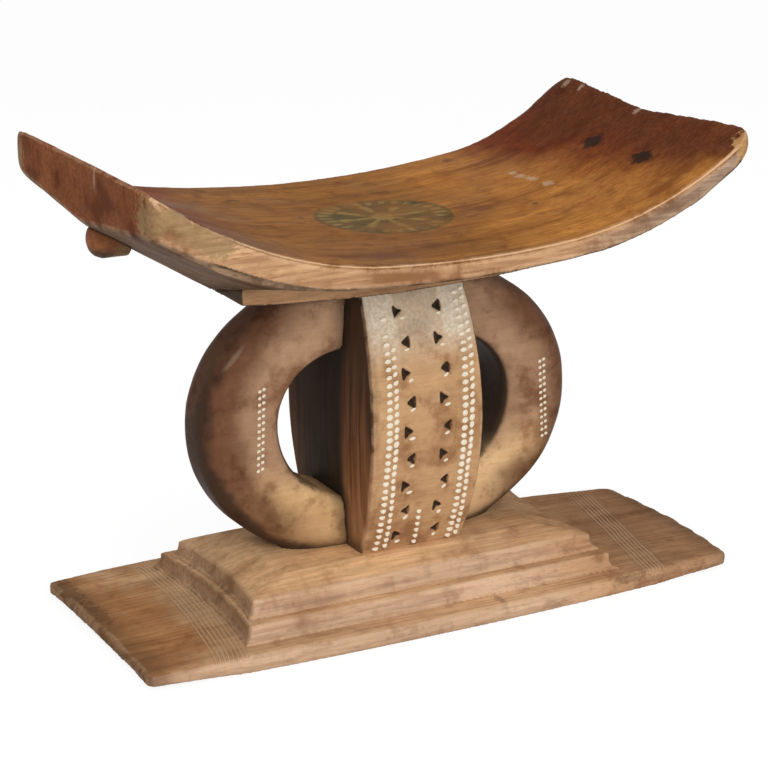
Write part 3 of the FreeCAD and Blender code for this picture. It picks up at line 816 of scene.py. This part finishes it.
def make_clay_material(tones):
    finish = Finish("white_clay")
    speck = finish.noise(900.0, detail=3.0)
    dull = finish.mix(0.5, tones.dust_and_highlight, tones.clay)
    colour = finish.mix(finish.rise(speck, 0.3, 0.5), dull, tones.clay)
    return finish.finish(colour, 0.85, finish.bump(speck, 0.2 * MM))


# Pieces

class STOOL_OT_seat(bpy.types.Operator):
    """Make the worn seat and its lug, and finish the painted roundel"""
    bl_idname = "stool.seat"
    bl_label = "Seat"

    def execute(self, context):
        tones = context.scene.stool_wood
        seat = carve("worn_seat", ["seat"], "seat", 0.6, make_seat_material(tones),
                     filled=["seat_roundel"])
        ease_ends(seat)
        cut_under_edge(seat)
        sink_under_roundel(seat)
        carve("worn_lug", ["seat_lug"], "lug", 0.5, make_lug_material(tones))
        wear_material(frame["nodes"]["seat_roundel"], make_roundel_material(tones))
        return {"FINISHED"}


def ease_ends(seat):
    """Rounds the arrises of both ends and the four tips more than the rest."""
    reach = np.abs(points_of(seat.data)[:, 0] - STEM_X)
    ends = weight_group(seat, "ends", np.clip((reach - END_START) / END_FADE, 0, 1))
    smooth(seat, EASING["ends"], ends)
    near_tip = np.clip((np.abs(points_of(seat.data)[:, :2]) - TIP_START) / TIP_FADE, 0, 1)
    tips = weight_group(seat, "tips", near_tip.prod(axis=1))
    smooth(seat, EASING["tips"], tips)
    seat.vertex_groups.clear()


def cut_under_edge(seat):
    """Slants the lower part of the seat's thick edge inwards on the left wing, front and back.

    The attribute `undercut` is 0 above the slant and 1 where it reaches 4 mm further down.
    """
    points = points_of(seat.data)
    tree = BVHTree.FromPolygons([vertex.co for vertex in seat.data.vertices],
                                [face.vertices for face in seat.data.polygons])
    cut = np.zeros(len(points))
    edge_y = SEAT_HIGH.y
    left_edge = (np.abs(points[:, 1]) > edge_y - EDGE_MARGIN) & (points[:, 0] < STEM_X - UNDERCUT_START)
    for index in np.nonzero(left_edge)[0]:
        x, y, z = points[index]
        side = math.copysign(1, y)
        top = tree.ray_cast((x, side * (edge_y - 4 * MM), SEAT_HIGH.z + 0.05), (0, 0, -1))[0]
        if top is None:
            continue
        thickness = 12 * MM + 7 * MM * min((STEM_X - UNDERCUT_START - x) / 0.15, 1)
        below = top.z - z - thickness
        if below > 0:
            cut[index] = below
            points[index, 1] = side * min(abs(y), edge_y - UNDERCUT_SLOPE * below)
    move_points(seat.data, points)
    keep_attribute(seat.data, "undercut", np.clip(cut / (4 * MM), 0, 1))


def sink_under_roundel(seat):
    """Lowers the seat's top a hair inside the circle that the roundel covers."""
    low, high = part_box("seat_roundel")
    centre, radius = (low + high) / 2, (high.x - low.x) / 2
    points = points_of(seat.data)
    inside = np.hypot(points[:, 0] - centre.x, points[:, 1] - centre.y) < radius + 0.3 * MM
    points[inside & (points[:, 2] > low.z), 2] -= 0.15 * MM
    move_points(seat.data, points)


class STOOL_OT_bearer(bpy.types.Operator):
    """Make the bearer under the seat"""
    bl_idname = "stool.bearer"
    bl_label = "Bearer"

    def execute(self, context):
        material = make_bearer_material(context.scene.stool_wood)
        carve("worn_bearer", ["seat_bearer"], "bearer", 0.5, material)
        return {"FINISHED"}


class STOOL_OT_ring(bpy.types.Operator):
    """Make both halves of the ring, their shoulders rounded"""
    bl_idname = "stool.ring"
    bl_label = "Ring"

    def execute(self, context):
        material = make_ring_material(context.scene.stool_wood)
        for side, column_side in (("left", 1), ("right", -1)):
            carve(f"worn_{side}_ring", [f"{side}_ring"], "ring", 1.0, material,
                  pressed=[(0, column_side), (2, -1), (2, 1)])
        return {"FINISHED"}


class STOOL_OT_column(bpy.types.Operator):
    """Make the column with its two chip-carved panels"""
    bl_idname = "stool.column"
    bl_label = "Column"

    def execute(self, context):
        members = ["front_panel", "column_core", "back_panel"]
        material = make_column_material(context.scene.stool_wood)
        carve("worn_column", members, "column", 0.5, material, pressed=[(2, -1), (2, 1)])
        return {"FINISHED"}


class STOOL_OT_base(bpy.types.Operator):
    """Make the base board and the two steps on it"""
    bl_idname = "stool.base"
    bl_label = "Base and steps"

    def execute(self, context):
        material = make_board_material(context.scene.stool_wood)
        carve("worn_base_board", ["base_board"], "base", 0.7, material)
        for step in ("lower_step", "upper_step"):
            carve("worn_" + step, [step], "step", 0.7, material, pressed=[(2, -1)])
        return {"FINISHED"}


# Clay dots

def panel_y(z):
    """How far the panel's bowed face stands out at one height."""
    end, belly = COLUMN_END_REACH, PANEL_HIGH.y - PANEL_LOW.y + CORE_HIGH.y
    low, high = CORE_LOW.z, CORE_LOW.z + COLUMN_HEIGHT
    half = (high - low) / 2
    bow = belly - end
    radius = (half ** 2 + bow ** 2) / (2 * bow)
    return belly - radius + math.sqrt(radius ** 2 - (z - low - half) ** 2)


def panel_slope(z):
    step = 0.5 * MM
    return math.atan2(panel_y(z - step) - panel_y(z + step), 2 * step)


def make_dot(settings):
    """One flattened bead, facing the front, at the origin."""
    bpy.ops.object.select_all(action="DESELECT")
    bpy.ops.mesh.primitive_uv_sphere_add(segments=8, ring_count=6, radius=1)
    dot = bpy.context.object
    bpy.ops.object.mode_set(mode="EDIT")
    bpy.ops.mesh.select_all(action="SELECT")
    bpy.ops.transform.resize(value=(settings.width / 2, settings.rise, settings.height / 2))
    bpy.ops.object.mode_set(mode="OBJECT")
    return dot


def place_dot(dot, place, tilt, turn, scale, back):
    """Copy of the dot on a face; `back` puts it on the stool's other side."""
    copy = dot.copy()
    copy.data = dot.data.copy()
    turned = Matrix.Rotation(-tilt, 4, "X") @ Matrix.Rotation(turn, 4, "Y") @ Matrix.Diagonal((*scale, 1))
    copy.data.transform(Matrix.Translation(place) @ turned)
    if back:
        copy.data.transform(Matrix.Scale(-1, 4, (0, 1, 0)))
        copy.data.flip_normals()
    bpy.context.scene.collection.objects.link(copy)
    return copy


def join_dots(name, dots, material):
    only(*dots)
    bpy.ops.object.join()
    piece = dots[0]
    piece.name = name
    bpy.ops.object.shade_smooth()
    wear_material(piece, material)
    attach(piece, "root")
    return piece


def row_middle(side, slanted, z):
    """Middle of a column of dots at one height, as a share of the way from the foot to the head."""
    share = (z - CORE_LOW.z) / COLUMN_HEIGHT
    if side < 0:
        wide, thin = (-28.4, -30.1, -28.7, -26.8, -25.1), (-21.9, -24.7, -23.6, -22.6, -18.9)
    else:
        wide, thin = (26.7, 25.8, 27.2, 29.2, 28.7), (32.1, 31.1, 32.6, 34.2, 33.8)
    return STEM_X + np.interp(share, (0.04, 0.32, 0.55, 0.78, 0.94), thin if slanted else wide) * MM


def panel_rows(settings, dot, back, chance):
    """Two columns of dots down both sides of a panel, clay in its notches and a short row at its foot."""
    dots = []
    low, high = CORE_LOW.z + 3 * MM, CORE_LOW.z + 172 * MM
    for side in (-1, 1):
        for slanted in (False, True):
            for index in range(int((high - low) / settings.pitch) + 1):
                z = low + (index + 0.3 * slanted) * settings.pitch + chance.uniform(-0.25, 0.25) * MM
                if z > 190 * MM and side < 0 and chance.random() < 0.4:
                    continue
                x = row_middle(side, slanted, z) + chance.uniform(-0.2, 0.2) * MM
                scale = (0.78 if slanted else 1.05, 1, 1.05 if slanted else 0.92)
                scale = tuple(part * chance.uniform(0.88, 1.08) for part in scale)
                turn = 0.45 if slanted else 0.08
                dots.append(place_dot(dot, (x, -panel_y(z), z), -panel_slope(z),
                                      turn + chance.uniform(-0.2, 0.2), scale, back))
    for index in range(6):
        z = 46 * MM + index * settings.pitch
        x = STEM_X + (0.6 - 0.45 * index) * MM
        dots.append(place_dot(dot, (x, -panel_y(z), z), -panel_slope(z), 0.2, (0.8, 1, 0.85), back))
    for index in range(NOTCH_COUNT):
        z = CORE_LOW.z + NOTCH_FOOT + NOTCH_PITCH * index - 4.6 * MM
        for side in (-1, 1):
            x = STEM_X + side * NOTCH_REACH + chance.uniform(0.3, 1.8) * MM
            scale = (chance.uniform(0.8, 1.1), 1.1, chance.uniform(0.4, 0.55))
            dots.append(place_dot(dot, (x, -panel_y(z), z), -panel_slope(z),
                                  chance.uniform(-0.7, -0.1), scale, back))
    return dots


def ring_rows(dot, back, chance):
    """Zigzag of dots down the face of each ring half."""
    dots = []
    face = -RING_LOW.y if not back else RING_HIGH.y
    for x_top, x_foot, z_top, z_foot in ((-110.0, -112.0, 160.0, 106.0), (100.8, 103.9, 150.0, 96.0)):
        for index in range(13):
            share = index / 12
            x = x_top + (x_foot - x_top) * share
            z = z_top + (z_foot - z_top) * share
            for offset, lift in ((-1.5, -0.6), (1.5, 0.6)):
                place = ((x + offset) * MM, -face, (z + lift) * MM)
                dots.append(place_dot(dot, place, 0.0, -0.5 + chance.uniform(-0.2, 0.2),
                                      (0.58, 0.6, 0.5), back))
    return dots


class STOOL_OT_dots(bpy.types.Operator):
    """Lay the rows of white clay dots on the panels and the ring"""
    bl_idname = "stool.dots"
    bl_label = "Clay dots"

    def execute(self, context):
        settings = context.scene.stool_dots
        material = make_clay_material(context.scene.stool_wood)
        chance = random.Random(settings.seed)
        dot = make_dot(settings)
        for name, back in (("front", False), ("back", True)):
            join_dots(f"panel_dots_{name}", panel_rows(settings, dot, back, chance), material)
            join_dots(f"ring_dots_{name}", ring_rows(dot, back, chance), material)
        bpy.data.objects.remove(dot)
        return {"FINISHED"}


# Stage

def make_lamp(name, power, size, place, target):
    data = bpy.data.lights.new(name, "AREA")
    data.energy = power
    data.shape = "DISK"
    data.size = size
    lamp = add_object(name, data, place)
    lamp.rotation_euler = (Vector(target) - Vector(place)).to_track_quat("-Z", "Y").to_euler()


def seen_directly(tree):
    """1 for camera, mirror and see-through rays, 0 for light that bounces."""
    path = tree.nodes.new("ShaderNodeLightPath")
    total = path.outputs["Is Camera Ray"]
    for name in ("Is Glossy Ray", "Is Transmission Ray"):
        node = tree.nodes.new("ShaderNodeMath")
        node.operation = "MAXIMUM"
        tree.links.new(total, node.inputs[0])
        tree.links.new(path.outputs[name], node.inputs[1])
        total = node.outputs[0]
    return total


def make_floor_material():
    material = bpy.data.materials.new("pale_floor")
    material.use_nodes = True
    tree = material.node_tree
    tree.nodes.clear()
    output = tree.nodes.new("ShaderNodeOutputMaterial")
    matte = tree.nodes.new("ShaderNodeBsdfDiffuse")
    matte.inputs["Color"].default_value = (*[FLOOR_TONE] * 3, 1)
    bright = tree.nodes.new("ShaderNodeEmission")
    bright.inputs["Strength"].default_value = FLOOR_GLOW
    share = tree.nodes.new("ShaderNodeMath")
    share.operation = "MULTIPLY"
    share.inputs[1].default_value = GLOW_SHARE
    tree.links.new(seen_directly(tree), share.inputs[0])
    blend = tree.nodes.new("ShaderNodeMixShader")
    tree.links.new(share.outputs[0], blend.inputs[0])
    tree.links.new(matte.outputs[0], blend.inputs[1])
    tree.links.new(bright.outputs[0], blend.inputs[2])
    tree.links.new(blend.outputs[0], output.inputs[0])
    return material


def make_world(sky):
    world = bpy.data.worlds.new("white_surround")
    bpy.context.scene.world = world
    world.use_nodes = True
    tree = world.node_tree
    background = tree.nodes["Background"]
    background.inputs["Color"].default_value = (1, 1, 1, 1)
    level = tree.nodes.new("ShaderNodeMapRange")
    tree.links.new(seen_directly(tree), level.inputs["Value"])
    level.inputs["To Min"].default_value = sky
    level.inputs["To Max"].default_value = 1.0
    tree.links.new(level.outputs["Result"], background.inputs["Strength"])


class STOOL_OT_stage(bpy.types.Operator):
    """Set the floor, the soft lamps, the white surround and the camera"""
    bl_idname = "stool.stage"
    bl_label = "Stage"

    def execute(self, context):
        settings = context.scene.stool_stage
        context.scene.view_settings.view_transform = "Standard"
        bpy.ops.object.select_all(action="DESELECT")
        bpy.ops.mesh.primitive_plane_add(size=16, location=(0, 0, FLOOR_LEVEL))
        floor = context.object
        floor.name = "floor"
        floor.data.materials.append(make_floor_material())
        target = (0, 0, 0.15)
        make_lamp("key_lamp", settings.key_power, 1.5, (-0.35, -1.75, 0.95), target)
        make_lamp("top_lamp", settings.top_power, 1.5, (-0.1, -0.1, 1.6), target)
        make_world(settings.sky)
        data = bpy.data.cameras.new("camera")
        data.lens = settings.lens
        data.sensor_width = 36
        camera = add_object("camera", data, (-0.7321, -1.3514, 0.6311))
        camera.rotation_euler = (math.radians(72.36), 0, math.radians(-28.1))
        context.scene.camera = camera
        return {"FINISHED"}


class STOOL_PT_panel(bpy.types.Panel):
    """The stool's settings and the steps that make it"""
    bl_label = "Stool"
    bl_idname = "STOOL_PT_panel"
    bl_space_type = "VIEW_3D"
    bl_region_type = "UI"
    bl_category = "Stool"

    def draw(self, context):
        for group in (context.scene.stool_wood, context.scene.stool_carving,
                      context.scene.stool_dots, context.scene.stool_stage):
            box = self.layout.box()
            for key in group.__annotations__:
                box.prop(group, key)
        for operator in OPERATORS:
            self.layout.operator(operator.bl_idname)


SETTINGS = {"stool_wood": StoolWoodSettings, "stool_carving": StoolCarvingSettings,
            "stool_dots": StoolDotSettings, "stool_stage": StoolStageSettings}
OPERATORS = (STOOL_OT_seat, STOOL_OT_bearer, STOOL_OT_ring, STOOL_OT_column, STOOL_OT_base,
             STOOL_OT_dots, STOOL_OT_stage)


def register():
    for cls in (*SETTINGS.values(), *OPERATORS, STOOL_PT_panel):
        bpy.utils.register_class(cls)
    for name, cls in SETTINGS.items():
        setattr(bpy.types.Scene, name, PointerProperty(type=cls))


def unregister():
    for name in SETTINGS:
        delattr(bpy.types.Scene, name)
    for cls in (STOOL_PT_panel, *reversed(OPERATORS), *reversed(SETTINGS.values())):
        bpy.utils.unregister_class(cls)


def main():
    register()
    bpy.ops.stool.seat()
    bpy.ops.stool.bearer()
    bpy.ops.stool.ring()
    bpy.ops.stool.column()
    bpy.ops.stool.base()
    bpy.ops.stool.dots()
    bpy.ops.stool.stage()


if __name__ == "__main__":
    main()
